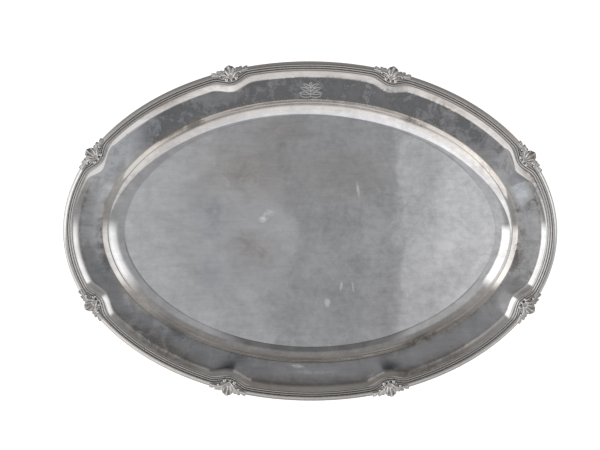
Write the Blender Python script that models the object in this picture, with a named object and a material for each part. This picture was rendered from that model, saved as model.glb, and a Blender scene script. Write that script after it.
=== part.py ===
"""Oval silver salver: a raised tray body, eight lengths of reeded border and eight cast shell mounts.

The frame: origin at the middle of the underside of the well, +X along the oval's long axis, +Z up.
Lengths are in metres. A point on the rim is given by its arc length along the outer oval and by its
inset, the distance inwards from that oval, square to it.
"""

import math

import bpy
import numpy as np
from mathutils import Matrix, Vector

MM = 0.001

# Overall size.
OVERALL_LENGTH = 500 * MM
OVERALL_WIDTH = 343.5 * MM
SHEET = 1.2 * MM
GAP = 0.3 * MM  # clearance left where soldered pieces meet

# The well, measured inwards from the outer oval at the long sides and at the two ends.
FLOOR_INSET_SIDE = 54.0 * MM
FLOOR_INSET_END = 61.5 * MM
WALL_INSET_SIDE = 41.8 * MM
WALL_INSET_END = 45.5 * MM
WALL_HEIGHT = 7.0 * MM
WALL_FOOT_ANGLE = math.radians(8)
WALL_TOP_ANGLE = math.radians(50)
SHOULDER_RISE = 3.0 * MM
SHOULDER_MIDDLE_SHARE = 0.55  # share of the rise that is reached half way across the shoulder

# The rim and the cove round it.
RIM_INSET = 38.0 * MM
RIM_RISE = 1.9 * MM
COVE_FOOT_INSET = 16.2 * MM
COVE_TOP_INSET = 10.0 * MM
COVE_RISE = 3.6 * MM
COVE_FOOT_ANGLE = math.radians(16)
COVE_TOP_ANGLE = math.radians(50)
FLANGE_EDGE_INSET = 1.4 * MM

# Where the border dips inwards round each shell.
SHELL_COUNT = 8
DIP_DEPTH = 5.8 * MM
DIP_HALF_WIDTH = 20.0 * MM
COVE_DIP_HALF_WIDTH = 24.0 * MM

# The reeded border: (inset, height above its seat) along its crown, and how deep its lip hangs.
BEAD_CROWN = ((0.0, -1.0), (0.35, 0.9), (1.2, 2.1), (2.3, 2.95), (3.9, 3.4), (4.6, 1.8))
REEDS_CROWN = ((4.9, 1.7), (5.8, 2.4), (6.9, 1.3), (7.9, 1.5), (9.1, 0.3))
LIP_INSET = 0.5 * MM
LIP_DROP = 1.8 * MM
SHELL_CORE_HALF_WIDTH = 6.7 * MM

# Stations along half a span, from a shell's axis to the middle of the plain stretch.
CORE_STATIONS = (0.0, 3.5)
SPAN_STATIONS = (7.0, 11.0, 15.0, 19.5, 24.0, 36.0, 51.0, 67.0)

FLOOR_TOP = SHEET
WALL_TOP = FLOOR_TOP + WALL_HEIGHT
RIM_INNER_HEIGHT = WALL_TOP + SHOULDER_RISE
RIM_OUTER_HEIGHT = RIM_INNER_HEIGHT + RIM_RISE
FLANGE_TOP = RIM_OUTER_HEIGHT + COVE_RISE
BORDER_SEAT = FLANGE_TOP + GAP

SEMI_LENGTH = OVERALL_LENGTH / 2
SEMI_WIDTH = OVERALL_WIDTH / 2
OVAL_SAMPLES = 14400
OVAL_ANGLES = np.linspace(0.0, 2 * math.pi, OVAL_SAMPLES + 1)
OVAL_STEPS = np.hypot(
    np.diff(SEMI_LENGTH * np.cos(OVAL_ANGLES)), np.diff(SEMI_WIDTH * np.sin(OVAL_ANGLES))
)
OVAL_ARC = np.concatenate(([0.0], np.cumsum(OVAL_STEPS)))
PERIMETER = float(OVAL_ARC[-1])
SPAN = PERIMETER / SHELL_COUNT


def oval_angle(arc):
    """The oval's own angle at an arc length measured anticlockwise from its +X end."""
    return float(np.interp(arc % PERIMETER, OVAL_ARC, OVAL_ANGLES))


def oval_point(arc):
    """The point on the outer oval at an arc length, and the outward normal there."""
    angle = oval_angle(arc)
    point = Vector((SEMI_LENGTH * math.cos(angle), SEMI_WIDTH * math.sin(angle), 0.0))
    normal = Vector((SEMI_WIDTH * math.cos(angle), SEMI_LENGTH * math.sin(angle), 0.0))
    return point, normal.normalized()


def rim_point(arc, inset, height):
    """The point at an inset from the outer oval, at a height."""
    point, normal = oval_point(arc)
    return point - inset * normal + Vector((0.0, 0.0, height))


def shell_arc(index):
    """Arc length of a shell's axis: the shells stand at the middles of eight equal spans."""
    return (index + 0.5) * SPAN


def dip(arc, half_width=DIP_HALF_WIDTH):
    """How far the border, or the cove with its own half width, swings inwards here round the nearest shell."""
    along = abs((arc % SPAN) - 0.5 * SPAN)
    if along >= half_width:
        return 0.0
    return 0.5 * DIP_DEPTH * (1 + math.cos(math.pi * along / half_width))


def hollow_curve(width, rise, foot_angle, top_angle, steps):
    """Points (across, up) on a hollow arc that leaves its foot at one slope and steepens to another."""
    points = []
    for step in range(steps + 1):
        angle = foot_angle + (top_angle - foot_angle) * step / steps
        across = (math.sin(angle) - math.sin(foot_angle)) / (math.sin(top_angle) - math.sin(foot_angle))
        up = (math.cos(foot_angle) - math.cos(angle)) / (math.cos(foot_angle) - math.cos(top_angle))
        points.append((width * across, rise * up))
    return points


def face_profile(arc):
    """The tray's upper face in section, (inset, height) from the edge of the floor to the flange's edge."""
    end_share = math.cos(oval_angle(arc)) ** 2
    floor_inset = FLOOR_INSET_SIDE + (FLOOR_INSET_END - FLOOR_INSET_SIDE) * end_share
    wall_inset = WALL_INSET_SIDE + (WALL_INSET_END - WALL_INSET_SIDE) * end_share
    swing = dip(arc, COVE_DIP_HALF_WIDTH)
    wall = hollow_curve(floor_inset - wall_inset, WALL_HEIGHT, WALL_FOOT_ANGLE, WALL_TOP_ANGLE, 4)
    cove = hollow_curve(COVE_FOOT_INSET - COVE_TOP_INSET, COVE_RISE, COVE_FOOT_ANGLE, COVE_TOP_ANGLE, 3)
    profile = [(floor_inset - across, FLOOR_TOP + up) for across, up in wall]
    profile.append(((wall_inset + RIM_INSET) / 2, WALL_TOP + SHOULDER_MIDDLE_SHARE * SHOULDER_RISE))
    profile.append((RIM_INSET, RIM_INNER_HEIGHT))
    profile.extend((COVE_FOOT_INSET + swing - across, RIM_OUTER_HEIGHT + up) for across, up in cove)
    profile.append((FLANGE_EDGE_INSET, FLANGE_TOP))
    return profile


def sheet_underside(profile):
    """The other face of the sheet: the profile moved one sheet thickness down, square to itself."""
    normals = [Vector((0.0, -1.0))]
    for (inset_a, height_a), (inset_b, height_b) in zip(profile, profile[1:]):
        outwards = inset_a - inset_b
        upwards = height_b - height_a
        normals.append(Vector((upwards, -outwards)).normalized())
    normals.append(normals[-1])
    moved = []
    for (inset, height), before, after in zip(profile, normals, normals[1:]):
        mitre = (before + after) / (1 + before.dot(after))
        moved.append((inset - SHEET * mitre.x, height + SHEET * mitre.y))
    return moved


def border_profile(arc):
    """The border moulding's closed section, (inset, height), from its lip over the crown to its seat."""
    swing = dip(arc)
    profile = [(LIP_INSET, BORDER_SEAT - LIP_DROP)]
    profile.extend((inset * MM, BORDER_SEAT + up * MM) for inset, up in BEAD_CROWN)
    profile.extend((inset * MM + swing, BORDER_SEAT + up * MM) for inset, up in REEDS_CROWN)
    profile.append((profile[-1][0], BORDER_SEAT))
    profile.append((FLANGE_EDGE_INSET - GAP, BORDER_SEAT))
    profile.append((FLANGE_EDGE_INSET - GAP, BORDER_SEAT - LIP_DROP))
    return profile


def span_stations(index):
    """Arc lengths of the sections along one length of border, from one shell's core to the next."""
    half = [shell_arc(index) + along * MM for along in SPAN_STATIONS]
    middle = shell_arc(index) + SPAN / 2
    return half + [middle] + [2 * middle - arc for arc in reversed(half)]


def core_stations(index):
    """Arc lengths of the sections under one shell's core."""
    centre = shell_arc(index)
    sides = [along * MM for along in CORE_STATIONS if along > 0]
    return [centre - side for side in reversed(sides)] + [centre] + [centre + side for side in sides]


def make_object(name, vertices, faces, material, parent):
    """Links a mesh object with one material, smooth apart from its creases."""
    mesh = bpy.data.meshes.new(name)
    mesh.from_pydata(vertices, [], faces)
    mesh.validate()
    mesh.shade_smooth()
    mesh.set_sharp_from_angle(angle=math.radians(35))
    mesh.materials.append(material)
    obj = bpy.data.objects.new(name, mesh)
    bpy.context.scene.collection.objects.link(obj)
    obj.parent = parent
    return obj


def make_material(name, colour, roughness):
    material = bpy.data.materials.new(name)
    material.use_nodes = True
    shader = material.node_tree.nodes["Principled BSDF"]
    shader.inputs["Base Color"].default_value = (*colour, 1.0)
    shader.inputs["Metallic"].default_value = 1.0
    shader.inputs["Roughness"].default_value = roughness
    return material


def make_tray_body(material, parent):
    """The raised sheet: floor, well wall, shoulder, rim, cove and flange, one sheet thick all over."""
    arcs = []
    for index in range(SHELL_COUNT):
        arcs.extend(core_stations(index) + span_stations(index))
    sections = []
    for arc in arcs:
        face = face_profile(arc)
        sections.append([rim_point(arc, inset, height) for inset, height in face + sheet_underside(face)[::-1]])
    size = len(sections[0])
    vertices = [point for section in sections for point in section]
    faces = []
    for i in range(len(sections)):
        here = i * size
        after = (i + 1) % len(sections) * size
        for k in range(size - 1):
            faces.append((here + k, here + k + 1, after + k + 1, after + k))
    faces.append([i * size for i in range(len(sections))])
    faces.append([i * size + size - 1 for i in reversed(range(len(sections)))])
    return make_object("tray_body", vertices, faces, material, parent)


def make_border_section(index, material, parent):
    """One length of reeded moulding, lying on the flange with its lip over the flange's edge."""
    sections = []
    for arc in span_stations(index):
        sections.append([rim_point(arc, inset, height) for inset, height in border_profile(arc)])
    size = len(sections[0])
    vertices = [point for section in sections for point in section]
    faces = []
    for i in range(len(sections) - 1):
        here = i * size
        after = here + size
        for k in range(size):
            following = (k + 1) % size
            faces.append((here + following, here + k, after + k, after + following))
    faces.append(list(range(size)))
    faces.append([len(vertices) - 1 - k for k in range(size)])
    return make_object(f"border_section_{index + 1}", vertices, faces, material, parent)


# The shell mount, in millimetres: u along the rim from the shell's axis, v outwards from the oval.
SHELL_COLUMNS = (0.0, 1.0, 2.0, 3.0, 4.0, 5.2, 6.65, 6.7, 8.5, 10.2, 11.8, 12.6, 14.2, 16.2, 18.0, 18.8)
SHELL_OUTER_LINE = (
    (0.0, 5.3), (1.0, 4.9), (2.0, 4.3), (3.0, 3.8), (4.0, 2.6), (5.2, 0.9), (6.7, 0.7), (10.2, 1.2),
    (11.8, 1.6), (12.6, -0.6), (14.2, 0.3), (18.0, 1.1), (18.8, 0.4),
)
WING_INNER_LINE = ((6.7, -8.6), (8.5, -6.8), (11.8, -4.6), (14.2, -3.2), (18.0, -1.7), (18.8, -0.9))
SHELL_ROWS = (0.0, 0.17, 0.34, 0.5, 0.64, 0.78, 0.9, 1.0)  # shares of the way from inner to outer line
SHELL_SEAT_ROWS = (0, 3, 5, 7)  # the rows that the underside uses
FAN_CENTRE_V = -7.0
FAN_FOOT_V = -10.2
FAN_RIB_ANGLE = math.radians(31)
FAN_RIB_HEIGHT = 0.45
FAN_CROWN = 6.0
FAN_CROWN_V = -3.0
FAN_FALL_ALONG = 0.045  # the crown falls by this times the squared distance from its top, outwards and inwards
FAN_FALL_ACROSS = 0.035  # and by this times the squared distance from the axis
BASE_PLATE_TOP = 1.2
BASE_PLATE_EDGE = 0.6
CURL_U, CURL_V, CURL_RADIUS, CURL_TOP = 5.2, -9.4, 2.6, 4.6
CURL_FALL = 1.6  # from a curl's top to its edge
WING_CLEARANCE = 3.7  # the wings' underside above the seat, over the bead's crown
WING_SEAT_FALL = 0.24  # slope of that underside down towards the rim
BEAD_CROWN_V = -4.4
WING_THICKNESS = 0.9
WING_RIB_HEIGHT = 0.5
SHELL_TIP_LIFT = 1.2  # how much higher the underside is at the overhanging tip


def along_line(line, u):
    """The height of a polyline of (u, v) points at u."""
    return float(np.interp(u, [point[0] for point in line], [point[1] for point in line]))


def shell_span(u):
    """The inner and outer line of the shell mount at a distance from its axis, both as v."""
    if u < SHELL_CORE_HALF_WIDTH / MM:
        inner = -(REEDS_CROWN[-1][0] + dip(shell_arc(0) + u * MM) / MM)
    else:
        inner = along_line(WING_INNER_LINE, u)
    return inner, along_line(SHELL_OUTER_LINE, u)


def shell_underside(u, v):
    """Height above the seat of the mount's underside: on the flange in its core, over the bead in its wings."""
    if u < SHELL_CORE_HALF_WIDTH / MM:
        return SHELL_TIP_LIFT * max(0.0, v / SHELL_OUTER_LINE[0][1])
    return WING_CLEARANCE - WING_SEAT_FALL * max(0.0, BEAD_CROWN_V - v)


def wing_relief(u, v, inner, outer):
    """Height above the seat of a leaf wing's face, ridged along its middle."""
    ridge = math.sin(math.pi * (v - inner) / (outer - inner))
    return shell_underside(u, v) + WING_THICKNESS + WING_RIB_HEIGHT * ridge


def core_relief(u, v, inner):
    """Height above the seat of the mount's middle: a ribbed fan and two curls, on a plate with a low edge."""
    if v <= inner:
        return BASE_PLATE_EDGE
    relief = BASE_PLATE_TOP
    if v >= FAN_FOOT_V:
        angle = math.atan2(u, max(v - FAN_CENTRE_V, 0.01))
        crown = FAN_CROWN - FAN_FALL_ALONG * (v - FAN_CROWN_V) ** 2 - FAN_FALL_ACROSS * u**2
        relief = max(relief, crown + FAN_RIB_HEIGHT * math.cos(2 * math.pi * angle / FAN_RIB_ANGLE))
    away = math.hypot(u - CURL_U, v - CURL_V) / CURL_RADIUS
    if away < 1:
        relief = max(relief, CURL_TOP - CURL_FALL * away**2)
    return relief


def shell_relief(u, v):
    """Height above the seat of the mount's face."""
    inner, outer = shell_span(u)
    if u < SHELL_CORE_HALF_WIDTH / MM:
        return core_relief(u, v, inner)
    return wing_relief(u, v, inner, outer)


def make_shell_mount(index, material, parent):
    """A cast shell with leaf wings, its axis on the joint between two lengths of border."""
    centre = shell_arc(index)
    foot, normal = oval_point(centre)
    turn = math.atan2(normal.y, normal.x)
    columns = [-u for u in reversed(SHELL_COLUMNS) if u > 0] + list(SHELL_COLUMNS)
    face_rows = len(SHELL_ROWS)
    seat_rows = len(SHELL_SEAT_ROWS)
    vertices = []
    for u in columns:
        inner, outer = shell_span(abs(u))
        rows = [inner + (outer - inner) * share for share in SHELL_ROWS]
        for v in rows:
            height = BORDER_SEAT + shell_relief(abs(u), v) * MM
            vertices.append(rim_point(centre + u * MM, -v * MM, height))
        for row in SHELL_SEAT_ROWS:
            height = BORDER_SEAT + shell_underside(abs(u), rows[row]) * MM
            vertices.append(rim_point(centre + u * MM, -rows[row] * MM, height))
    # One closed loop of points per column: the face from inner to outer line, then the seat back again.
    size = face_rows + seat_rows
    loop = list(range(face_rows)) + [face_rows + k for k in reversed(range(seat_rows))]
    faces = []
    for i in range(len(columns) - 1):
        here = i * size
        after = here + size
        for k in range(size):
            this, following = loop[k], loop[(k + 1) % size]
            faces.append((here + this, here + following, after + following, after + this))
    last = (len(columns) - 1) * size
    faces.append(loop[::-1])
    faces.append([last + k for k in loop])
    to_mount = Matrix.Rotation(-turn, 4, "Z") @ Matrix.Translation(-foot)
    own_vertices = [to_mount @ point for point in vertices]
    mount = make_object(f"shell_mount_{index + 1}", own_vertices, faces, material, parent)
    mount.location = foot
    mount.rotation_euler = (0.0, 0.0, turn)
    return mount


def main():
    for obj in list(bpy.data.objects):
        bpy.data.objects.remove(obj)
    sheet_silver = make_material("sheet_silver", (0.66, 0.66, 0.66), 0.30)
    border_silver = make_material("border_silver", (0.58, 0.57, 0.55), 0.28)
    cast_silver = make_material("cast_silver", (0.55, 0.54, 0.51), 0.32)
    frame = bpy.data.objects.new("salver_frame", None)
    bpy.context.scene.collection.objects.link(frame)
    make_tray_body(sheet_silver, frame)
    for index in range(SHELL_COUNT):
        make_border_section(index, border_silver, frame)
        make_shell_mount(index, cast_silver, frame)


main()
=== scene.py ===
"""The oval silver salver's visual model: worn sheet silver, reeded border, cast shells, in a plain studio."""

import math

import bpy
import numpy as np
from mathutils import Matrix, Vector


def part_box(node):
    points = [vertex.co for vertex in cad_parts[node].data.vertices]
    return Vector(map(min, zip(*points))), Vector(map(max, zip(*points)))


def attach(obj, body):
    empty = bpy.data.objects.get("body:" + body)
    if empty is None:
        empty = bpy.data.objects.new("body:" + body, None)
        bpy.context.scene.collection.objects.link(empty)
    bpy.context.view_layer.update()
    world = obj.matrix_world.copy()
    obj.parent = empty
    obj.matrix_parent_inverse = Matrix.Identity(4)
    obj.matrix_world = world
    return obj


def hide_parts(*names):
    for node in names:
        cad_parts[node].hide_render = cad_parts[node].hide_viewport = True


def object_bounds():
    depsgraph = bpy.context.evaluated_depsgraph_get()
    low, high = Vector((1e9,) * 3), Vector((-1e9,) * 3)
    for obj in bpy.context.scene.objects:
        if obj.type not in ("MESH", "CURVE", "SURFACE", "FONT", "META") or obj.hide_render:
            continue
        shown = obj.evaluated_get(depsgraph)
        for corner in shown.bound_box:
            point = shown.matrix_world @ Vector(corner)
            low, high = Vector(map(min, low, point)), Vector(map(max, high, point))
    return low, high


MM = 0.001

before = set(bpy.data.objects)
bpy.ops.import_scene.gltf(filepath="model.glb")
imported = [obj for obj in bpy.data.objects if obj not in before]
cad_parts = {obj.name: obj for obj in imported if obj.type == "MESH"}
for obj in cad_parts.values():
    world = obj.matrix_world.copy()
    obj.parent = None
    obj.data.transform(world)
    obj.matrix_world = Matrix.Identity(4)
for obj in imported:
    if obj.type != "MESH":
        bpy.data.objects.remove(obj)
CAD_LOW, CAD_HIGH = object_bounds()
TRAY_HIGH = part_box("tray_body")[1].z
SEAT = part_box("shell_mount_1")[0].z
BORDER_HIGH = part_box("border_section_1")[1].z
SHELL_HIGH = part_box("shell_mount_1")[1].z
SHELL_COUNT = len([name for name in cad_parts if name.startswith("shell_mount")])

# The outer oval, and arc length along it from its +X end.
SEMI_LENGTH = (CAD_HIGH.x - CAD_LOW.x) / 2
SEMI_WIDTH = (CAD_HIGH.y - CAD_LOW.y) / 2
OVAL_ANGLES = np.linspace(0.0, 2 * math.pi, 14401)
OVAL_STEPS = np.hypot(np.diff(SEMI_LENGTH * np.cos(OVAL_ANGLES)), np.diff(SEMI_WIDTH * np.sin(OVAL_ANGLES)))
OVAL_ARC = np.concatenate(([0.0], np.cumsum(OVAL_STEPS)))
PERIMETER = float(OVAL_ARC[-1])
SPAN = PERIMETER / SHELL_COUNT

# The sheet's section, in millimetres from the outer oval inwards.
SHEET = 1.2
FLOOR_INSET_SIDE, FLOOR_INSET_END = 54.0, 61.5
WALL_INSET_SIDE, WALL_INSET_END = 41.8, 45.5
RIM_INSET = 38.0
COVE_FOOT_INSET, COVE_TOP_INSET = 16.2, 10.0
FLANGE_EDGE_INSET = 1.4
SHOULDER_RISE = 3.0
RIM_RISE = 1.9
COVE_RISE = 3.6
FLANGE_TOP = TRAY_HIGH / MM
RIM_OUTER_HEIGHT = FLANGE_TOP - COVE_RISE
RIM_INNER_HEIGHT = RIM_OUTER_HEIGHT - RIM_RISE
WALL_TOP = RIM_INNER_HEIGHT - SHOULDER_RISE
LEDGE_WIDTH, LEDGE_RISE = 0.45, 0.06
WALL_FOOT_SLOPE, WALL_TOP_SLOPE = math.radians(8), math.radians(50)
COVE_FOOT_SLOPE, COVE_TOP_SLOPE = math.radians(16), math.radians(50)
FINE_COVE_FOOT_SLOPE = math.radians(21)

# How the border and the cove swing inwards to pass round a shell, in millimetres.
DIP_DEPTH = 5.8
DIP_HALF_WIDTH = 20.0
COVE_DIP_HALF_WIDTH = 24.0


def oval_angle(arc):
    """The angle of the oval's formula at an arc length, in radians."""
    return np.interp(np.mod(arc, PERIMETER), OVAL_ARC, OVAL_ANGLES)


def rim_points(arc, inset, height):
    """World points at arc lengths and insets from the outer oval. All in metres, arrays that broadcast."""
    angle = oval_angle(arc)
    nx, ny = SEMI_WIDTH * np.cos(angle), SEMI_LENGTH * np.sin(angle)
    size = np.hypot(nx, ny)
    x = SEMI_LENGTH * np.cos(angle) - inset * nx / size
    y = SEMI_WIDTH * np.sin(angle) - inset * ny / size
    return np.stack(np.broadcast_arrays(x, y, height), axis=-1)


def shell_arc(index):
    return (index + 0.5) * SPAN


def from_shell(arc):
    """Distance along the rim from the middle of the nearest shell, in millimetres."""
    return np.abs(np.mod(arc, SPAN) - 0.5 * SPAN) / MM


def dip(arc, half_width=DIP_HALF_WIDTH):
    """How far the border and the cove swing inwards to pass round the nearest shell, in millimetres."""
    along = from_shell(arc)
    swing = 0.5 * DIP_DEPTH * (1 + np.cos(math.pi * along / half_width))
    return np.where(along < half_width, swing, 0.0)


def smooth(low, high, value):
    t = np.clip((value - low) / (high - low), 0.0, 1.0)
    return t * t * (3 - 2 * t)


def add_mesh(name, vertices, faces, attributes=None):
    mesh = bpy.data.meshes.new(name)
    mesh.from_pydata([tuple(v) for v in vertices], [], faces)
    mesh.validate()
    mesh.shade_smooth()
    for key, values in (attributes or {}).items():
        layer = mesh.attributes.new(key, "FLOAT", "POINT")
        layer.data.foreach_set("value", np.asarray(values, dtype=np.float32))
    obj = bpy.data.objects.new(name, mesh)
    bpy.context.scene.collection.objects.link(obj)
    return obj


def own(obj, node, material):
    """Makes a piece stand for a CAD node."""
    obj.data.materials.append(material)
    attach(obj, "root")
    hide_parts(node)


# ---------------------------------------------------------------- profiles


def hollow_curve(width, rise, foot_angle, top_angle, steps):
    """Points (across, up) on a hollow arc that leaves its foot at one slope and steepens to another."""
    points = []
    for step in range(steps + 1):
        angle = foot_angle + (top_angle - foot_angle) * step / steps
        across = (math.sin(angle) - math.sin(foot_angle)) / (math.sin(top_angle) - math.sin(foot_angle))
        up = (math.cos(foot_angle) - math.cos(angle)) / (math.cos(foot_angle) - math.cos(top_angle))
        points.append((width * across, rise * up))
    return points


def rounded(points, radii, steps=4):
    """The polyline with each inner corner that has a radius replaced by a short curve."""
    out = [points[0]]
    for i in range(1, len(points) - 1):
        p = Vector(points[i])
        reach = radii.get(i, 0.0)
        if not reach:
            out.append(tuple(p))
            continue
        to_before, to_after = Vector(points[i - 1]) - p, Vector(points[i + 1]) - p
        a = p + to_before.normalized() * min(reach, 0.48 * to_before.length)
        b = p + to_after.normalized() * min(reach, 0.48 * to_after.length)
        for k in range(steps + 1):
            t = k / steps
            out.append(tuple(a * (1 - t) ** 2 + p * (2 * t * (1 - t)) + b * t**2))
    out.append(points[-1])
    return out


def face_profile(arc, fine=True):
    """The tray's upper face in section, (inset, height) in millimetres, from the floor's edge outwards."""
    end_share = math.cos(float(oval_angle(arc))) ** 2
    floor_inset = FLOOR_INSET_SIDE + (FLOOR_INSET_END - FLOOR_INSET_SIDE) * end_share
    wall_inset = WALL_INSET_SIDE + (WALL_INSET_END - WALL_INSET_SIDE) * end_share
    swing = float(dip(arc, COVE_DIP_HALF_WIDTH))
    wall_steps, cove_steps = (20, 12) if fine else (8, 5)
    wall_width = floor_inset - wall_inset
    wall = hollow_curve(wall_width, WALL_TOP - SHEET, WALL_FOOT_SLOPE, WALL_TOP_SLOPE, wall_steps)
    # The fine cove starts a little more steeply than the CAD's, which the underside follows.
    foot_slope = FINE_COVE_FOOT_SLOPE if fine else COVE_FOOT_SLOPE
    cove = hollow_curve(COVE_FOOT_INSET - COVE_TOP_INSET, COVE_RISE, foot_slope, COVE_TOP_SLOPE, cove_steps)
    points = [(floor_inset + 0.8, SHEET)]
    points += [(floor_inset - across, SHEET + up) for across, up in wall]
    corners = {1: 1.6}
    if fine:
        # A narrow ledge parts the hollow wall from the shoulder, which rolls over tightly on to the rim.
        ledge_inset, ledge_height = wall_inset - LEDGE_WIDTH, WALL_TOP + LEDGE_RISE
        corners[len(points) - 1] = 0.15
        points.append((ledge_inset, ledge_height))
        corners[len(points) - 1] = 0.15
        for share, lift in ((0.08, 0.03), (0.42, 0.48), (0.80, 0.96)):
            corners[len(points)] = 0.3
            points.append((RIM_INSET + (ledge_inset - RIM_INSET) * (1 - share),
                           ledge_height + (RIM_INNER_HEIGHT - ledge_height) * lift))
    corners[len(points)] = 0.7
    points.append((RIM_INSET, RIM_INNER_HEIGHT))
    foot = COVE_FOOT_INSET + swing
    for share, sag in ((0.3, 0.12), (0.6, 0.12), (0.85, 0.06)):
        points.append((RIM_INSET + (foot - RIM_INSET) * share, RIM_INNER_HEIGHT + RIM_RISE * share - sag))
    corners[len(points)] = 0.3
    points += [(foot - across, RIM_OUTER_HEIGHT + up) for across, up in cove]
    corners[len(points) - 1] = 0.35
    points.append((FLANGE_EDGE_INSET, FLANGE_TOP))
    return rounded(points, corners) if fine else points


def sheet_underside(profile):
    """The other face of the sheet: the profile moved one sheet thickness down, square to itself."""
    normals = [Vector((0.0, -1.0))]
    for (inset_a, height_a), (inset_b, height_b) in zip(profile, profile[1:]):
        normals.append(Vector((height_b - height_a, inset_b - inset_a)).normalized())
    normals.append(normals[-1])
    moved = []
    for (inset, height), before, after in zip(profile, normals, normals[1:]):
        mitre = (before + after) / (1 + before.dot(after))
        moved.append((inset - SHEET * mitre.x, max(0.0, height + SHEET * mitre.y)))
    return moved


def loft(sections, closed_ring):
    """Quads between sections of equal length."""
    size = len(sections[0])
    count = len(sections)
    faces = []
    for i in range(count if closed_ring else count - 1):
        here, after = i * size, (i + 1) % count * size
        faces += [(here + k, here + k + 1, after + k + 1, after + k) for k in range(size - 1)]
    return faces


# ---------------------------------------------------------------- materials


class Nodes:
    """Short hand for building node trees."""

    def __init__(self, tree):
        self.tree = tree
        tree.nodes.clear()

    def add(self, kind, inputs=None, **settings):
        node = self.tree.nodes.new(kind)
        for key, value in settings.items():
            setattr(node, key, value)
        for key, value in (inputs or {}).items():
            self.put(node.inputs[key], value)
        return node

    def put(self, socket, value):
        if isinstance(value, bpy.types.NodeSocket):
            self.tree.links.new(value, socket)
        else:
            socket.default_value = value

    def math(self, operation, a, b=0.0, clamp=False):
        return self.add("ShaderNodeMath", {0: a, 1: b}, operation=operation, use_clamp=clamp).outputs[0]

    def total(self, first, *others):
        for other in others:
            first = self.math("ADD", first, other)
        return first

    def times(self, *factors):
        product = factors[0]
        for factor in factors[1:]:
            product = self.math("MULTIPLY", product, factor)
        return product

    def swing(self, noise, amount):
        """A noise's swing about one half, scaled."""
        return self.times(self.math("SUBTRACT", noise, 0.5), amount)

    def ramp(self, value, low, high, out_low=0.0, out_high=1.0, kind="SMOOTHSTEP"):
        node = self.add("ShaderNodeMapRange", interpolation_type=kind)
        for socket, item in zip(node.inputs[:5], (value, low, high, out_low, out_high)):
            self.put(socket, item)
        return node.outputs[0]

    def mix(self, factor, a, b, blend="MIX"):
        node = self.add("ShaderNodeMix", data_type="RGBA", blend_type=blend)
        self.put(node.inputs[0], factor)
        self.put(node.inputs[6], a)
        self.put(node.inputs[7], b)
        return node.outputs[2]

    def blend(self, factor, a, b):
        node = self.add("ShaderNodeMix", data_type="FLOAT")
        for socket, item in zip((node.inputs[0], node.inputs[2], node.inputs[3]), (factor, a, b)):
            self.put(socket, item)
        return node.outputs[0]

    def noise(self, vector, scale, detail=4.0, roughness=0.55, distortion=0.0):
        settings = {"Scale": scale, "Detail": detail, "Roughness": roughness, "Distortion": distortion}
        return self.add("ShaderNodeTexNoise", {"Vector": vector, **settings}).outputs[0]

    def stretched(self, vector, scale, turn=0.0):
        inputs = {"Vector": vector, "Scale": scale, "Rotation": (0.0, 0.0, turn)}
        return self.add("ShaderNodeMapping", inputs).outputs[0]

    def attribute(self, name):
        return self.add("ShaderNodeAttribute", attribute_name=name).outputs["Fac"]

    def bump(self, shader, relief, distance):
        node = self.add("ShaderNodeBump", {"Height": relief, "Strength": 1.0, "Distance": distance})
        self.put(shader.inputs["Normal"], node.outputs[0])


def silver_base(name):
    """A new metal material, with its nodes, its shader and the object's coordinates."""
    material = bpy.data.materials.new(name)
    material.use_nodes = True
    nodes = Nodes(material.node_tree)
    shader = nodes.add("ShaderNodeBsdfPrincipled", {"Metallic": 1.0})
    nodes.add("ShaderNodeOutputMaterial", {"Surface": shader.outputs[0]})
    where = nodes.add("ShaderNodeTexCoord").outputs["Object"]
    return material, nodes, shader, where


# Small bright marks worn into the floor and the rim: x, y, half length and half width in millimetres, turn
# in degrees, and how much they lift the silver's level.
MARKS = (
    (48.5, 42, 1.5, 9, 8, 0.16),
    (18, -73, 3.2, 4.5, 0, 0.16),
    (32, -56, 1.2, 5, -10, 0.16),
    (44, -57, 1.2, 5, 8, 0.14),
    (-42, 17, 9, 5, 25, 0.20),
    (-49, 11, 6, 4, 0, 0.18),
    (-12, -137, 7, 2, -6, 0.18),
    (6, -143, 26, 2.5, 1, 0.07),
    (-42, 146, 3, 7, 0, 0.06),
)


def worn_marks(nodes, where, mottle):
    """How much the small marks lift the silver's level."""
    worn = nodes.ramp(mottle, 0.3, 0.6, 0.4, 1.0)
    lifts = []
    for mark_x, mark_y, half_length, half_width, turn, lift in MARKS:
        inputs = {
            "Vector": where,
            "Location": (mark_x * MM, mark_y * MM, 0.0),
            "Rotation": (0.0, 0.0, math.radians(turn)),
            "Scale": (half_length * MM, half_width * MM, 1.0),
        }
        mark = nodes.add("ShaderNodeMapping", inputs, vector_type="TEXTURE").outputs[0]
        away = nodes.add("ShaderNodeVectorMath", {0: mark}, operation="LENGTH").outputs["Value"]
        lifts.append(nodes.times(nodes.ramp(away, 0.3, 1.3, 1.0, 0.0), worn, lift))
    return nodes.total(*lifts)


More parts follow.
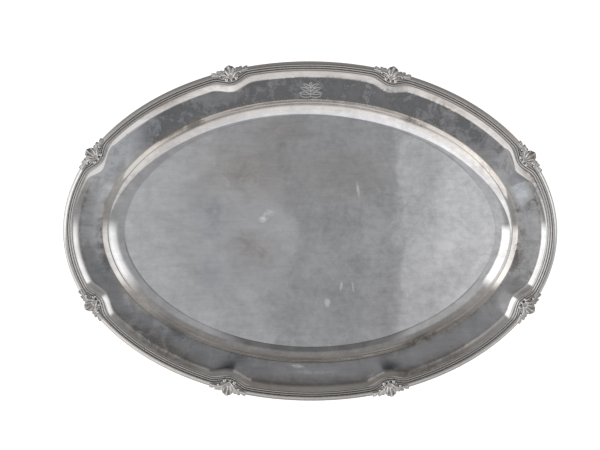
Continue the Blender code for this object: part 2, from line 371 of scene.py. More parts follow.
def sheet_silver():
    """Silver with stains, worn patches and some painted light: one attribute darkens it, or lightens it where
    negative, and warmth turns it brown.
    """
    material, nodes, shader, where = silver_base("worn_sheet_silver_with_painted_light")
    tarnish_and_painted_light, warmth = nodes.attribute("tarnish_and_painted_light"), nodes.attribute("warmth")
    cloud = nodes.noise(where, 24.0, 5.0, 0.6, 0.6)
    mottle = nodes.noise(where, 150.0, 5.0, 0.7, 0.3)
    speck = nodes.noise(where, 900.0, 2.0, 0.6)
    wipe = nodes.noise(nodes.stretched(where, (28.0, 170.0, 28.0), 0.12), 1.0, 5.0, 0.7, 0.5)
    hairs = nodes.noise(nodes.stretched(where, (25.0, 2600.0, 25.0), -0.03), 1.0, 3.0, 0.7)
    marks = worn_marks(nodes, where, mottle)
    shade = nodes.total(
        nodes.swing(cloud, 0.50), nodes.swing(mottle, 0.40), nodes.swing(speck, 0.14),
        nodes.swing(wipe, 0.26), nodes.swing(hairs, 0.20), marks)
    blotch = nodes.total(
        nodes.times(mottle, 0.4), nodes.times(cloud, 0.25),
        nodes.times(nodes.noise(where, 62.0, 4.0, 0.65, 0.8), 0.35))
    uneven = nodes.total(nodes.ramp(blotch, 0.41, 0.59, 0.3, 1.85), nodes.ramp(speck, 0.35, 0.65, -0.2, 0.2))
    # Stains darken the level. The patches' painted highlights and painted floor reflection also come in here,
    # lifting or lowering it.
    stain_and_painted_light = nodes.times(tarnish_and_painted_light, uneven)
    level = nodes.math("SUBTRACT", nodes.total(0.80, shade), nodes.times(stain_and_painted_light, 0.5))
    level = nodes.math("MINIMUM", nodes.math("MAXIMUM", level, 0.30), 1.0)
    grey = nodes.add("ShaderNodeCombineColor", {"Red": level, "Green": level, "Blue": level}).outputs[0]
    warm_share = nodes.math("ADD", 0.5, nodes.times(warmth, 0.5), clamp=True)
    tint = nodes.mix(warm_share, (0.96, 0.985, 1.03, 1.0), (1.05, 0.985, 0.925, 1.0))
    nodes.put(shader.inputs["Base Color"], nodes.mix(1.0, grey, tint, "MULTIPLY"))
    rough = nodes.total(0.01, nodes.times(hairs, 0.02), nodes.times(stain_and_painted_light, 0.20), nodes.times(marks, 2.2))
    nodes.put(shader.inputs["Roughness"], nodes.math("ADD", rough, nodes.times(mottle, 0.02), clamp=True))
    swell = nodes.noise(where, 26.0, 1.0, 0.4)
    relief = nodes.total(nodes.times(hairs, 0.05), nodes.times(mottle, 0.12), nodes.times(swell, 4.0))
    nodes.bump(shader, relief, 12e-6)
    return material


def relief_silver(name, bright, dark, rough):
    """Silver whose hollows hold dark tarnish: crevice is 0 on the ridges and 1 in the hollows."""
    material, nodes, shader, where = silver_base(name)
    crevice = nodes.attribute("crevice")
    mottle = nodes.noise(where, 260.0, 4.0, 0.65)
    speck = nodes.noise(where, 1400.0, 3.0, 0.6)
    patch = nodes.noise(where, 35.0, 3.0, 0.6)
    amount = nodes.total(crevice, nodes.swing(mottle, 0.35), nodes.swing(patch, 0.3))
    amount = nodes.math("ADD", amount, nodes.swing(speck, 0.2), clamp=True)
    nodes.put(shader.inputs["Base Color"], nodes.mix(amount, (*bright, 1.0), (*dark, 1.0)))
    nodes.put(shader.inputs["Roughness"], nodes.ramp(amount, 0.0, 1.0, rough, rough + 0.3, "LINEAR"))
    nodes.bump(shader, nodes.total(mottle, nodes.times(speck, 0.4)), 30e-6)
    return material


def engraved_silver():
    """Dull, finely cut silver."""
    material, nodes, shader, _ = silver_base("engraved_silver")
    nodes.put(shader.inputs["Base Color"], (0.76, 0.75, 0.73, 1.0))
    nodes.put(shader.inputs["Roughness"], 0.5)
    return material


# ---------------------------------------------------------------- tray body

# Stains, worn patches and some painted light: x, y, half length, half width in millimetres, turn in degrees,
# tarnish, warmth.
PATCHES = (
    (24, 144, 32, 12, -3, 0.70, -0.1),
    (80, 136, 36, 12, -8, 0.55, -0.1),
    (-95, 137, 28, 11, 10, -0.40, 0.0),
    (-216, 52, 22, 24, 0, -0.45, -0.1),
    (-145, 108, 26, 9, 28, 0.30, -0.5),
    # Partly a clean patch and partly painted reflection: lighter rim at the upper left.
    (-197, 80, 34, 12, 48, -0.45, -0.4),
    (-229, 38, 6, 18, 0, 0.40, 0.6),
    (142, 118, 12, 8, -30, -0.2, 0.1),
    (163, 103, 8, 3, -50, 0.5, 0.0),
    (170, 96, 5, 2.5, -40, 0.5, 0.0),
    (197, 66, 9, 6, -50, 0.35, 0.0),
    (214, 44, 9, 14, 20, -0.85, -0.6),
    (222, 28, 5, 9, 0, 0.3, 0.2),
    (214, -25, 16, 25, 10, 0.12, 0.5),
    (-226, -20, 9, 14, 0, 0.1, 0.1),
    (-208, -38, 12, 12, 0, 0.20, -0.4),
    (-136, -104, 30, 8, -32, 0.25, -0.5),
    (-136, -124, 34, 8, -30, 0.1, 0.7),
    (-78, -127, 22, 6, -12, 0.3, -0.5),
    (-37, -153, 40, 7, -4, 0.15, 0.7),
    (8, -143, 34, 3.5, 0, -0.25, 0.0),
    (84, -134, 22, 7, 10, 0.05, -0.4),
    (101, -141, 14, 5, 15, 0.3, 0.7),
    (140, -131, 40, 9, 27, 0.1, 0.6),
    (165, -96, 20, 10, 40, -0.1, -0.2),
    (104, 112, 11, 3, -22, 1.0, 0.5),
    (-147, 95, 14, 3, 34, 0.80, 0.9),
    (-120, 108, 14, 3.5, 25, 0.95, 0.8),
    (-65, 62, 38, 24, 0, 0.20, 0.8),
    (-32, 100, 26, 13, 0, 0.16, 0.7),
    (-99, 16, 16, 22, 0, 0.14, -0.35),
    (-55, -20, 22, 12, -30, 0.20, 0.8),
    (-100, -45, 10, 20, 0, 0.14, -0.4),
    (34, 58, 40, 26, 0, 0.16, 0.5),
    (-152, -118, 50, 9, -35, 0.55, 0.6),
    (-20, -154, 70, 6, 0, 0.20, 0.6),
    (75, -149, 50, 7, 10, 0.25, 0.6),
    (135, -131, 40, 7, 27, 0.45, 0.6),
    (222, 62, 10, 22, 28, 0.45, 0.3),
    (190, -8, 14, 50, 0, -0.10, 0.0),
    (140, -14, 8, 5, 0, -0.30, 0.1),
    (229, 36, 7, 18, 12, 0.50, 0.5),
    (140, 127, 24, 4, -28, 0.35, 0.6),
    (-142, 131, 26, 4, 30, 0.35, 0.6),
    (118, -106, 42, 4, 25, 0.60, 0.7),
    # Partly a clean patch and partly painted reflection: lighter rim at the upper left.
    (-176, 98, 42, 14, 38, -0.35, -0.2),
    # Painted highlight: lighter shoulder at the upper right, where a reflected band falls.
    (176, 68, 38, 6, -45, -0.40, 0.2),
    # Painted reflection: the left half of the floor darker and the right half lighter, following the overhead
    # panels' reflection.
    (-86, 8, 70, 72, 0, 0.12, 0.0),
    (85, 10, 110, 100, 0, -0.10, 0.0),
    (150, -62, 95, 50, 25, 0.0, 0.25),
    (-60, 62, 60, 40, 0, 0.0, 0.12),
    (207.5, -8, 4, 34, 0, 0.25, 0.3),
    (-207.5, -8, 4, 34, 0, 0.10, 0.3),
    # Painted highlights: lighter shoulder at the upper left and lower left, where a reflected band falls.
    (-176, 68, 38, 6, 45, -0.50, 0.2),
    (-176, -68, 38, 6, -45, -0.30, 0.2),
    (-205, 75, 30, 16, 50, -0.25, 0.0),
)


TRAY_STATIONS = 92  # sections of the tray from one shell to the next
FLOOR_RINGS = 34
FAR_INSIDE = 80.0  # the inset given to points that aren't on the face beyond the floor, in millimetres


def patch_values(x, y):
    """Sums the patches at points given in millimetres: tarnish and warmth."""
    tarnish_and_painted_light = np.zeros_like(x)
    warmth = np.zeros_like(x)
    for px, py, a, b, turn, amount, warm in PATCHES:
        c, s = math.cos(math.radians(turn)), math.sin(math.radians(turn))
        u = ((x - px) * c + (y - py) * s) / a
        v = (-(x - px) * s + (y - py) * c) / b
        r2 = u * u + v * v
        falloff = np.exp(-(r2**1.3))
        tarnish_and_painted_light += amount * falloff
        warmth += warm * falloff
    return tarnish_and_painted_light, warmth


def sheet_values(x, y, inset, outer):
    """Tarnish and warmth at points of the sheet, in millimetres, with the painted light that some patches
    carry. The outer inset leaves out the cove's swing.

    The rim is more tarnished than the floor, and the shoulder is brown where it wasn't rubbed clean.
    """
    tarnish_and_painted_light, warmth = patch_values(x, y)
    on_rim = smooth(38.3, 37.6, inset) * smooth(15.0, 17.0, outer)
    on_shoulder = smooth(45.5, 44.5, inset) * smooth(37.4, 38.2, inset)
    on_cove = smooth(17.0, 15.5, outer)
    on_floor = smooth(55.0, 58.0, inset)
    in_cove_foot = np.exp(-(((outer - 16.4) / 1.5) ** 2))
    in_rim_edge = np.exp(-(((inset - 38.2) / 1.3) ** 2))
    tarnish_and_painted_light = tarnish_and_painted_light + 0.30 * on_rim + 0.14 * on_shoulder + 0.08 * on_cove
    tarnish_and_painted_light = tarnish_and_painted_light + 0.18 * in_cove_foot + 0.26 * in_rim_edge
    # Darker along the rim's +Y side, and lighter along the -Y side of the sheet.
    tarnish_and_painted_light = tarnish_and_painted_light + 0.44 * on_rim * smooth(60.0, 110.0, y) - 0.12 * smooth(-90.0, -125.0, y)
    warmth = warmth - 0.15 - 0.1 * on_rim + 0.8 * on_shoulder + 0.35 * on_cove - 0.1 * on_floor
    warmth = warmth + 0.3 * in_cove_foot + 0.3 * in_rim_edge
    return {"tarnish_and_painted_light": np.clip(tarnish_and_painted_light, -0.6, 1.5), "warmth": np.clip(warmth, -1.0, 1.0)}


def make_tray(material):
    """The sheet: rings of the floor, the face and the underside at each station, and the two middles."""
    stations = TRAY_STATIONS * SHELL_COUNT
    arcs = np.arange(stations) * PERIMETER / stations
    face, under, insets = [], [], []
    for arc in arcs:
        fine = np.array(face_profile(arc))
        coarse = np.array(sheet_underside(face_profile(arc, fine=False)))
        face.append(rim_points(arc, fine[:, 0] * MM, fine[:, 1] * MM))
        under.append(rim_points(arc, coarse[::-1, 0] * MM, coarse[::-1, 1] * MM))
        insets.append(fine[:, 0])
    face, under, insets = np.array(face), np.array(under), np.array(insets)
    shares = (np.arange(1, FLOOR_RINGS + 1) / FLOOR_RINGS) ** 0.8
    floor = np.repeat(face[:, :1, :], FLOOR_RINGS, axis=1)
    floor[:, :, :2] *= shares[None, :, None] * 0.985
    section = np.concatenate([floor, face, under], axis=1)
    size = section.shape[1]
    vertices = section.reshape(-1, 3)
    faces = [tuple(reversed(f)) for f in loft([[0] * size] * stations, True)]
    middle = len(vertices)
    vertices = np.vstack([vertices, [(0, 0, SHEET * MM), (0, 0, 0)]])
    for i in range(stations):
        here, after = i * size, (i + 1) % stations * size
        faces.append((middle, here, after))
        faces.append((middle + 1, after + size - 1, here + size - 1))
    inset = np.full((stations, size), FAR_INSIDE)
    inset[:, FLOOR_RINGS:FLOOR_RINGS + insets.shape[1]] = insets
    inset = np.concatenate([inset.ravel(), [FAR_INSIDE, FAR_INSIDE]])
    swung = np.array([float(dip(arc, COVE_DIP_HALF_WIDTH)) for arc in arcs])
    outer = inset - np.concatenate([np.repeat(swung, size), [0.0, 0.0]])
    attributes = sheet_values(vertices[:, 0] / MM, vertices[:, 1] / MM, inset, outer)
    tray = add_mesh("tray_body_fine", vertices, faces, attributes)
    tray.data.set_sharp_from_angle(angle=math.radians(30))
    own(tray, "tray_body", material)


# ---------------------------------------------------------------- border

# In millimetres. The outer quarter round: inset of its crown, radius, height at its foot and crown.
OVOLO = (4.1, 4.1, -0.75, 3.4)
# The two reeds: inset of the middle, half width, height at the foot and crown.
REED_OUTER = (5.85, 1.0, 1.3, 2.3)
REED_INNER = (7.95, 1.05, 0.6, 1.5)
SHELL_CORE = 7.0  # half the length over which the moulding is cut down under a shell
BORDER_GAP = 0.05  # how far short of the shell's middle a section stops
BORDER_STATIONS = 104
OVOLO_STEPS, REED_STEPS = 14, 10


def half_round(reed):
    """(inset, height, crevice) across a reed."""
    middle, half, low, high = reed
    points = []
    for k in range(REED_STEPS + 1):
        angle = math.pi * k / REED_STEPS
        lift = math.sin(angle)
        points.append((middle - half * math.cos(angle), low + (high - low) * lift, 1 - lift))
    return points


def border_section_points(arc):
    """(inset, height above the seat, crevice) in millimetres round the moulding's section."""
    swing = float(dip(arc))
    under_shell = 1 - float(smooth(SHELL_CORE - 2.0, SHELL_CORE, from_shell(arc)))
    # The reeds are grimier along the two long sides, and on the diagonals of the +Y half.
    oval = float(oval_angle(arc))
    turned = math.sin(oval)
    grime = 0.32 * turned**2 + (0.2 if turned > 0 else 0.0) * math.sin(2 * oval) ** 2
    bead_grime = 0.2 * turned**2 * (1 - turned)
    crown, radius, low, high = OVOLO
    points = [(0.5, -1.8, 0.6), (0.1, -1.5, 0.3)]
    for k in range(OVOLO_STEPS + 1):
        share = k / OVOLO_STEPS
        angle = 0.5 * math.pi * share
        crevice = 0.2 * smooth(0.7, 1.0, share) + bead_grime * smooth(0.2, 0.5, share)
        points.append((crown - radius * math.cos(angle), low + (high - low) * math.sin(angle), crevice))
    points += [(4.45, 3.15, 0.1), (4.62, 2.5, 0.5), (4.75, 1.75, 0.9)]
    points = [(inset, min(up, up * (1 - 0.75 * under_shell)), c) for inset, up, c in points]
    # The groove between the quarter round and the reeds widens to a band where the reeds swing inwards.
    for share in (0.25, 0.5, 0.75):
        up = 1.55 + 0.35 * math.sin(math.pi * share) * min(1.0, swing)
        points.append((4.8 + swing * share, up, 0.75 - 0.4 * min(1.0, swing / 2)))
    for reed in (REED_OUTER, REED_INNER):
        points += [(inset + swing, up, 0.75 * c**2 + grime) for inset, up, c in half_round(reed)]
    points += [(9.15 + swing, 0.0, 0.8), (1.3, 0.0, 1.0), (1.1, -1.8, 1.0)]
    return points


def make_border(index, material):
    name = f"border_section_{index + 1}"
    start, end = shell_arc(index) + BORDER_GAP * MM, shell_arc(index + 1) - BORDER_GAP * MM
    sections, crevice = [], []
    for arc in np.linspace(start, end, BORDER_STATIONS):
        points = np.array(border_section_points(arc))
        sections.append(rim_points(arc, points[:, 0] * MM, SEAT + points[:, 1] * MM))
        crevice.append(points[:, 2])
    sections = np.array(sections)
    size = sections.shape[1]
    faces = loft(sections, False)
    for here in range(0, (BORDER_STATIONS - 1) * size, size):
        faces.append((here + size - 1, here, here + size, here + 2 * size - 1))
    faces = [tuple(reversed(f)) for f in faces]
    faces.append(tuple(range(size)))
    faces.append(tuple(reversed(range(len(sections) * size - size, len(sections) * size))))
    attributes = {"crevice": np.array(crevice).ravel()}
    section = add_mesh(f"{name}_fine", sections.reshape(-1, 3), faces, attributes)
    section.data.set_sharp_from_angle(angle=math.radians(50))
    own(section, name, material)


# ---------------------------------------------------------------- shells

# The grid that a shell's relief is worked out on, in millimetres.
GRID = 0.18
SHELL_HALF_LENGTH = 19.8
SHELL_INNER_EDGE, SHELL_OUTER_EDGE = -11.8, 5.9

# Strokes of the relief, on one side of the axis: points (along the rim, outwards, half width, top), in
# millimetres from the outer oval and from the border's seat.
STROKES = (
    # calyx under the fan
    ((0.0, -5.5, 1.1, 5.0), (0.0, -8.3, 1.6, 4.7), (0.0, -10.6, 1.2, 4.0)),
    # acanthus scroll
    ((1.6, -8.6, 0.8, 4.6), (3.3, -6.4, 1.0, 5.3), (5.3, -4.4, 1.15, 5.6), (7.4, -3.2, 1.15, 5.5),
     (9.2, -3.0, 1.0, 5.2), (10.5, -3.8, 0.8, 5.0)),
    # its inner line
    ((3.2, -8.8, 0.5, 3.9), (5.0, -6.7, 0.65, 4.4), (7.0, -5.5, 0.7, 4.4), (8.8, -5.2, 0.5, 4.1)),
    # streak that runs out along the bead
    ((9.0, -2.4, 0.7, 4.8), (12.0, -2.2, 0.8, 4.8), (15.5, -2.0, 0.7, 4.6), (18.8, -1.9, 0.3, 4.0)),
)
# Leaves over the edge, with a vein along the middle: the same four numbers.
LEAVES = (
    ((4.4, -3.2, 1.2, 5.3), (6.2, -1.4, 1.5, 5.2), (7.6, 0.1, 1.4, 4.5), (8.4, 0.7, 1.0, 3.9)),
    ((6.6, -2.7, 1.2, 5.1), (9.2, -1.0, 1.7, 5.0), (11.3, 0.2, 1.6, 4.5), (12.4, 0.9, 1.1, 3.8)),
    ((12.4, -1.9, 0.9, 4.7), (15.2, -0.7, 1.4, 4.6), (17.1, 0.1, 1.2, 4.1), (18.1, 0.5, 0.9, 3.6)),
)
# Low webs that join the strokes.
WEBS = (
    ((0.0, -3.0, 4.0, 3.2), (0.0, -7.0, 5.0, 2.6), (0.0, -9.6, 5.0, 1.6)),
    ((3.0, -5.5, 3.2, 3.8), (7.0, -3.6, 2.8, 3.9), (12.0, -2.4, 2.0, 4.0), (18.0, -1.8, 1.2, 3.9)),
)
# Beads: along the rim, outwards, the two radii and the top.
BEADS = ((10.7, -4.0, 1.3, 1.3, 5.6), (5.15, -9.1, 1.9, 2.5, 4.5), (7.3, -7.2, 0.9, 0.9, 4.5))
# The fan: where its ribs meet, the turn from rib to rib, how many degrees it opens on one side, and its
# outline in degrees and millimetres.
FAN_CENTRE = -10.2
FAN_RIBS = math.radians(21.5)
FAN_REACH = 54.0
FAN_OUTLINE = (
    (0, 15.2), (5, 15.0), (10.5, 14.3), (16, 14.0), (21.5, 13.5), (27, 12.2), (32, 11.4), (38, 10.9),
    (43, 10.3), (48, 8.0), (54, 6.5),
)


def densify(points, step=0.35):
    """A smooth curve through the points, as closely spaced samples."""
    points = np.array(points, float)
    padded = np.vstack([2 * points[0] - points[1], points, 2 * points[-1] - points[-2]])
    out = []
    for i in range(len(points) - 1):
        p0, p1, p2, p3 = padded[i:i + 4]
        count = max(2, int(np.hypot(*(p2 - p1)[:2]) / step))
        t = np.linspace(0, 1, count, endpoint=False)[:, None]
        out.append(0.5 * (2 * p1 + (p2 - p0) * t + (2 * p0 - 5 * p1 + 4 * p2 - p3) * t**2
                          + (3 * p1 - p0 - 3 * p2 + p3) * t**3))
    out.append(points[-1:])
    return np.vstack(out)


def stroke_relief(u, v, points, sharp):
    """Height of a rounded stroke over the grid, minus infinity outside it."""
    samples = densify(points)
    best = np.full(u.shape, -np.inf)
    for su, sv, half, top in samples:
        away = np.hypot(u - su, v - sv) / half
        rise = np.sqrt(np.clip(1 - away**2, 0, 1)) if sharp else 1 - away**2 * 0.35
        height = np.where(away < 1, top - half * 0.9 * (1 - rise), -np.inf)
        best = np.maximum(best, height)
    return best


def leaf_relief(u, v, points):
    """Height of a leaf over the grid, with a vein cut along its middle, minus infinity outside it."""
    samples = densify(points)
    best = np.full(u.shape, -np.inf)
    for su, sv, half, top in samples:
        away = np.hypot(u - su, v - sv) / half
        height = top - 0.5 * half * away**2 - 0.8 * np.clip((away - 0.7) / 0.3, 0, 1) ** 2
        best = np.maximum(best, np.where(away < 1, height, -np.inf))
    line = np.min([np.hypot(u - su, v - sv) / half for su, sv, half, _ in samples], axis=0)
    return best - 0.5 * np.exp(-((line / 0.22) ** 2))


def fan_relief(u, v):
    """Height of the ribbed fan over the grid, and how deep in a flute each point lies."""
    angle = np.arctan2(np.abs(u), v - FAN_CENTRE)
    radius = np.hypot(u, v - FAN_CENTRE)
    outline = np.interp(np.degrees(angle), *np.array(FAN_OUTLINE).T)
    share = radius / outline
    off_rib = np.abs(np.sin(math.pi * angle / FAN_RIBS)) * FAN_RIBS / math.pi * radius
    flute = 1 - np.exp(-((off_rib / 0.75) ** 2))
    height = 5.05 + 1.2 * smooth(0.2, 0.75, share) - 1.25 * flute * smooth(0.25, 0.5, share)
    height = height - 1.6 * np.clip((share - 0.8) / 0.2, 0, 1) ** 2
    inside = (share < 1) & (np.degrees(angle) < FAN_REACH)
    return np.where(inside, height, -np.inf), np.where(inside, flute * smooth(0.3, 0.5, share), 0.0)


def bead_relief(u, v, bead):
    """Height of a bead over the grid, minus infinity outside it."""
    cu, cv, ru, rv, top = bead
    away = np.sqrt(((u - cu) / ru) ** 2 + ((v - cv) / rv) ** 2)
    height = top - 0.4 * (ru + rv) * (1 - np.sqrt(np.clip(1 - away**2, 0, 1)))
    return np.where(away < 1, height, -np.inf)


def blurred(values, weights, times):
    """Binomial blur of the values where there is relief."""
    for _ in range(times):
        for axis in (0, 1):
            total = 2 * values * weights
            share = 2 * weights
            for step in (-1, 1):
                total = total + np.roll(values * weights, step, axis)
                share = share + np.roll(weights, step, axis)
            values = np.where(share > 0, total / np.maximum(share, 1e-9), values)
    return values


def border_top(inset, swing):
    """Height above the seat of the border's face at an inset, without the shell."""
    height = np.zeros_like(inset)
    for (middle, half, low, high), shift in ((OVOLO, 0.0), (REED_OUTER, 1.0), (REED_INNER, 1.0)):
        across = (inset - middle - shift * swing) / half
        arch = low + (high - low) * np.sqrt(np.clip(1 - across**2, 0, 1))
        height = np.where(np.abs(across) < 1, arch, height)
    return height


def shell_fields():
    """The relief of one shell on a grid: u, v, face height, underside height, crevice and mask."""
    along = np.arange(-SHELL_HALF_LENGTH, SHELL_HALF_LENGTH + 0.01, GRID)
    outwards = np.arange(SHELL_INNER_EDGE, SHELL_OUTER_EDGE, GRID)
    u, v = np.meshgrid(along, outwards, indexing="ij")
    au = np.abs(u)
    relief, flute = fan_relief(u, v)
    fan = relief.copy()
    for points in LEAVES:
        relief = np.maximum(relief, leaf_relief(au, v, points))
    for points in STROKES:
        relief = np.maximum(relief, stroke_relief(au, v, points, True))
    for points in WEBS:
        relief = np.maximum(relief, stroke_relief(au, v, points, False))
    for bead in BEADS:
        relief = np.maximum(relief, bead_relief(au, v, bead))
    mask = np.isfinite(relief)
    weights = mask.astype(float)
    relief = np.where(mask, relief, 0.0)
    relief = blurred(relief, weights, 1)
    around = blurred(relief, weights, 14)
    crevice = (around - relief) * 1.3 + 0.3
    on_fan = relief <= fan + 0.05
    on_edge = smooth(-1.2, 1.2, v)
    in_fan = np.maximum(0.6 * crevice, 0.62 * flute) + 0.1 * on_edge
    crevice = np.clip(np.where(on_fan, in_fan, crevice + 0.34 * on_edge), 0, 1)
    core = 1 - smooth(SHELL_CORE - 1.0, SHELL_CORE + 1.0, au)
    over_border = border_top(-v, dip(shell_arc(0) + u * MM)) - 0.25
    under = np.where(v > -0.1, 1.6 + 0.25 * np.clip(v, 0, 5), over_border * (1 - core))
    under = np.minimum(under, relief - 0.6)
    return u, v, relief, under, crevice, mask


def make_shell(index, fields, material):
    """The relief's face and underside, bent round the oval, with a wall round the edge of the mask."""
    name = f"shell_mount_{index + 1}"
    u, v, relief, under, crevice, mask = fields
    number = np.full(mask.shape, -1)
    cells = mask[:-1, :-1] & mask[1:, :-1] & mask[:-1, 1:] & mask[1:, 1:]
    used = np.zeros_like(mask)
    for a in (slice(0, -1), slice(1, None)):
        for b in (slice(0, -1), slice(1, None)):
            used[a, b] |= cells
    number[used] = np.arange(used.sum())
    count = int(used.sum())
    arc = shell_arc(index) + u[used] * MM
    top = rim_points(arc, -v[used] * MM, SEAT + relief[used] * MM)
    low = rim_points(arc, -v[used] * MM, SEAT + under[used] * MM)
    top[:, 2] = np.minimum(top[:, 2], SHELL_HIGH)
    vertices = np.vstack([top, low])
    a, b = number[:-1, :-1][cells], number[1:, :-1][cells]
    c, d = number[1:, 1:][cells], number[:-1, 1:][cells]
    faces = [tuple(f) for f in np.stack([a, b, c, d], 1)]
    edges = {(quad[k], quad[(k + 1) % 4]): True for quad in faces for k in range(4)}
    faces += [tuple(f) for f in np.stack([d, c, b, a], 1) + count]
    faces += [(q, p, p + count, q + count) for p, q in edges if (q, p) not in edges]
    # The grid runs along the rim and outwards, which is left-handed seen from above, so the faces are turned.
    faces = [tuple(int(k) for k in reversed(f)) for f in faces]
    values = np.concatenate([crevice[used], np.full(count, 0.8)])
    shell = add_mesh(f"{name}_fine", vertices, faces, {"crevice": values})
    own(shell, name, material)


# ---------------------------------------------------------------- engraving

# Where the sprig's middle lies along the rim and across it, and how much wider than the strokes it is drawn.
SPRIG_ARC = 0.25 * PERIMETER + 0.3 * MM
SPRIG_INSET = 28.6
SPRIG_SPREAD = 1.25
# Strokes of a plain sprig, on one side of its stem: points (across, up, half width), in millimetres.
SPRIG = (
    ((0.0, -7.6, 0.35), (0.1, -2.5, 0.45), (0.0, 3.0, 0.4), (0.0, 7.6, 0.2)),
    ((0.2, -6.8, 0.3), (3.4, -7.6, 0.45), (7.0, -7.2, 0.45), (9.2, -5.6, 0.4), (8.6, -4.2, 0.35),
     (7.2, -4.6, 0.3)),
    ((0.2, -4.8, 0.3), (3.2, -2.6, 0.65), (7.0, -2.2, 0.6), (10.6, -3.2, 0.2)),
    ((0.2, -4.6, 0.3), (2.8, -4.6, 0.5), (6.6, -4.4, 0.45), (10.6, -3.2, 0.2)),
    ((0.2, -1.6, 0.3), (2.6, 1.0, 0.65), (5.6, 2.2, 0.6), (9.2, 2.0, 0.2)),
    ((0.2, -1.6, 0.3), (3.0, -1.0, 0.45), (6.2, -0.2, 0.45), (9.2, 2.0, 0.2)),
    ((0.2, 1.6, 0.3), (1.6, 4.0, 0.6), (3.8, 5.6, 0.55), (6.6, 6.2, 0.2)),
    ((0.2, 1.6, 0.3), (2.4, 2.4, 0.45), (4.8, 3.8, 0.45), (6.6, 6.2, 0.2)),
    ((0.0, 7.6, 0.3), (-1.2, 5.6, 0.4), (0.0, 3.4, 0.3)),
)


def make_sprig(material):
    """A plain engraved sprig on the rim, as low ridges that stand just clear of the sheet."""
    section = np.array(sorted(face_profile(SPRIG_ARC)))
    vertices, faces = [], []
    for side in (-1, 1):
        for stroke in SPRIG:
            points = densify([(SPRIG_SPREAD * u, v, half, 0.0) for u, v, half in stroke], 0.6)
            along = np.gradient(points[:, :2], axis=0)
            along /= np.hypot(along[:, 0], along[:, 1])[:, None]
            start = len(vertices)
            for (u, v, half, _), (du, dv) in zip(points, along):
                for offset, lift in ((-half, -0.02), (0.0, 0.07), (half, -0.02)):
                    across, up = side * (u - dv * offset), v + du * offset
                    inset = SPRIG_INSET - up
                    height = np.interp(inset, section[:, 0], section[:, 1]) + lift
                    vertices.append(rim_points(SPRIG_ARC - across * MM, inset * MM, height * MM))
            ribbon = loft([[0] * 3] * len(points), False)
            faces += [tuple(start + k for k in (face if side < 0 else reversed(face))) for face in ribbon]
    sprig = add_mesh("rim_sprig", vertices, faces)
    own(sprig, "tray_body", material)


# ---------------------------------------------------------------- studio

# Soft boxes at both ends: azimuth, half width, lower and upper edge and softness in degrees, and strength.
SOFT_BOXES = (
    (17, 19.5, 6, 46, 8, 0.50),
    (17, 19.5, 14, 32, 6, 0.20),
    (17, 21, -12, 54, 6, 0.16),
    (163, 21, 20, 57, 4, 0.95),
    (163, 21, -8, 21, 5, 0.40),
)


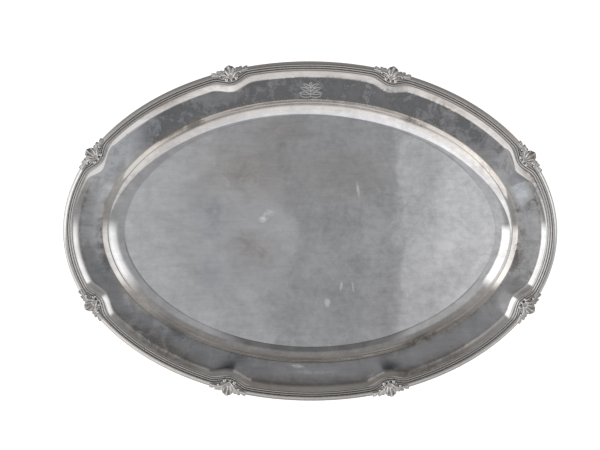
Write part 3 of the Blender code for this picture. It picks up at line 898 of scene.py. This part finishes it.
def make_world():
    """The studio by direction: what the silver reflects. The camera itself sees plain white."""
    world = bpy.data.worlds.new("studio")
    world.use_nodes = True
    nodes = Nodes(world.node_tree)
    split = nodes.add("ShaderNodeSeparateXYZ", {0: nodes.add("ShaderNodeTexCoord").outputs["Generated"]})
    x, y, z = split.outputs
    height = nodes.times(nodes.math("ARCSINE", z), 180 / math.pi)
    turn = nodes.times(nodes.math("ARCTAN2", y, x), 180 / math.pi)

    def away_from(azimuth):
        """Degrees of turn away from an azimuth, 0 to 180."""
        difference = nodes.math("ADD", nodes.math("SUBTRACT", turn, azimuth), 540.0)
        return nodes.math("ABSOLUTE", nodes.math("SUBTRACT", nodes.math("MODULO", difference, 360.0), 180.0))

    def box(azimuth, half, low, high, soft, amount):
        """A soft-edged box of directions."""
        aside = nodes.ramp(away_from(azimuth), half - soft, half + soft, 1.0, 0.0)
        above = nodes.ramp(height, low - soft, low + soft)
        below = nodes.ramp(height, high - soft, high + soft, 1.0, 0.0)
        return nodes.times(aside, above, below, amount)

    # The room: paler overhead than round the horizon, darkest towards +Y.
    low_room = nodes.math("SUBTRACT", 0.345, box(90, 38, -90, 60, 14, 0.115))
    high_room = nodes.math("ADD", 0.36, nodes.ramp(away_from(-170.0), 30.0, 105.0, 0.14, 0.0))
    high_room = nodes.math("SUBTRACT", high_room, box(91, 17, 30, 79, 4, 0.22))
    room = nodes.blend(nodes.ramp(height, 34.0, 50.0), low_room, high_room)
    room = nodes.math("SUBTRACT", room, box(75, 62, 75, 85, 2.5, 0.13))
    room = nodes.math("SUBTRACT", room, box(-100, 26, 74, 85, 2.0, 0.11))
    # Overhead: a dark slot along Y between two paler panels, where the camera looks down.
    lean = nodes.math("DIVIDE", x, nodes.math("MAXIMUM", z, 0.2))
    right = nodes.ramp(lean, 0.0325, 0.0335, 0.0, 0.13)
    far_right = nodes.ramp(lean, 0.038, 0.058, 0.0, 0.14)
    beyond = nodes.ramp(lean, 0.060, 0.075, 0.0, -0.10)
    left = nodes.ramp(lean, -0.068, -0.034, 0.03, 0.0)
    dimmed = nodes.times(nodes.ramp(lean, -0.046, -0.034), nodes.ramp(lean, -0.006, 0.006, 1.0, 0.0), 0.035)
    panels = nodes.math("SUBTRACT", nodes.total(right, far_right, left, beyond, -0.035), dimmed)
    overhead = nodes.times(nodes.ramp(height, 83.0, 86.0), panels)
    # A wide panel towards -Y, whose upper edge falls away to both sides, and a dark gap in its foot.
    aside = away_from(-97.0)
    near = nodes.math("SUBTRACT", 72.5, nodes.times(aside, 0.58))
    far = nodes.math("SUBTRACT", 82.0, nodes.times(aside, 0.84))
    edge = nodes.math("MINIMUM", near, far)
    inside = nodes.ramp(nodes.math("SUBTRACT", edge, height), -2.5, 2.5)
    foot = nodes.ramp(height, -40.0, -20.0)
    to_the_right = nodes.math("COSINE", nodes.times(turn, math.pi / 180))
    strength = nodes.math("SUBTRACT", 0.46, nodes.times(to_the_right, 0.22))
    gap = nodes.math("SUBTRACT", 1.0, box(-84, 28, -40, 9, 8, 0.75))
    panel = nodes.times(inside, foot, strength, gap)
    level = nodes.total(room, overhead, panel, *[box(*soft_box) for soft_box in SOFT_BOXES])
    level = nodes.math("MAXIMUM", level, 0.05)
    # Bluish overhead, nearly neutral past the ends of the long axis, and a little brown to both sides of it.
    to_sides = nodes.ramp(nodes.math("ABSOLUTE", y), 0.3, 0.75)
    colour = nodes.mix(to_sides, (0.99, 1.0, 1.01, 1.0), (1.025, 0.995, 0.97, 1.0))
    colour = nodes.mix(nodes.ramp(height, 25.0, 65.0), colour, (0.985, 1.0, 1.03, 1.0))
    seen = nodes.add("ShaderNodeLightPath").outputs["Is Camera Ray"]
    colour = nodes.mix(seen, colour, (1.0, 1.0, 1.0, 1.0))
    inputs = {"Color": colour, "Strength": nodes.blend(seen, level, 1.0)}
    background = nodes.add("ShaderNodeBackground", inputs)
    nodes.add("ShaderNodeOutputWorld", {"Surface": background.outputs[0]})
    bpy.context.scene.world = world


FLOOR_REACH = 8.0  # metres to each side
FLOOR_GAP = 0.2  # how far the floor lies below the salver, in millimetres


def make_floor():
    """A plain white floor that the silver doesn't reflect."""
    mesh = bpy.data.meshes.new("studio_floor")
    corners = [(FLOOR_REACH * x, FLOOR_REACH * y, 0) for x, y in ((-1, -1), (1, -1), (1, 1), (-1, 1))]
    mesh.from_pydata(corners, [], [(0, 1, 2, 3)])
    floor = bpy.data.objects.new("studio_floor", mesh)
    bpy.context.scene.collection.objects.link(floor)
    floor.location.z = CAD_LOW.z - FLOOR_GAP * MM
    material = bpy.data.materials.new("white_floor")
    material.use_nodes = True
    shader = material.node_tree.nodes["Principled BSDF"]
    shader.inputs["Base Color"].default_value = (0.9, 0.9, 0.9, 1.0)
    shader.inputs["Roughness"].default_value = 0.9
    shader.inputs["Specular IOR Level"].default_value = 0.0
    shader.inputs["Emission Color"].default_value = (1.0, 1.0, 1.0, 1.0)
    shader.inputs["Emission Strength"].default_value = 0.8
    mesh.materials.append(material)
    floor.visible_glossy = False


CAMERA_X, CAMERA_Y = -10.3, 6.0  # in millimetres
CAMERA_DISTANCE = 3.0  # metres above the border
CAMERA_TURN = 0.37  # degrees
SENSOR = 36.0
FRAME_WIDE = 606.2  # what the frame takes in across, at the border's height, in millimetres


def make_camera():
    """Straight above the salver, a little left of and above its middle, with the long axis turned a touch."""
    data = bpy.data.cameras.new("camera")
    camera = bpy.data.objects.new("camera", data)
    bpy.context.scene.collection.objects.link(camera)
    data.sensor_width = SENSOR
    data.lens = SENSOR * CAMERA_DISTANCE / (FRAME_WIDE * MM)
    data.clip_end = 50.0
    camera.location = (CAMERA_X * MM, CAMERA_Y * MM, BORDER_HIGH + CAMERA_DISTANCE)
    camera.rotation_euler = (0.0, 0.0, math.radians(CAMERA_TURN))
    bpy.context.scene.camera = camera


def main():
    bpy.context.scene.view_settings.view_transform = "Standard"
    bpy.context.scene.view_settings.look = "None"
    border = relief_silver("border_silver_worn", (0.83, 0.80, 0.77), (0.16, 0.145, 0.13), 0.16)
    cast = relief_silver("cast_silver_worn", (0.92, 0.89, 0.86), (0.10, 0.09, 0.08), 0.16)
    make_tray(sheet_silver())
    make_sprig(engraved_silver())
    fields = shell_fields()
    for index in range(SHELL_COUNT):
        make_border(index, border)
        make_shell(index, fields, cast)
    make_world()
    make_floor()
    make_camera()


main()
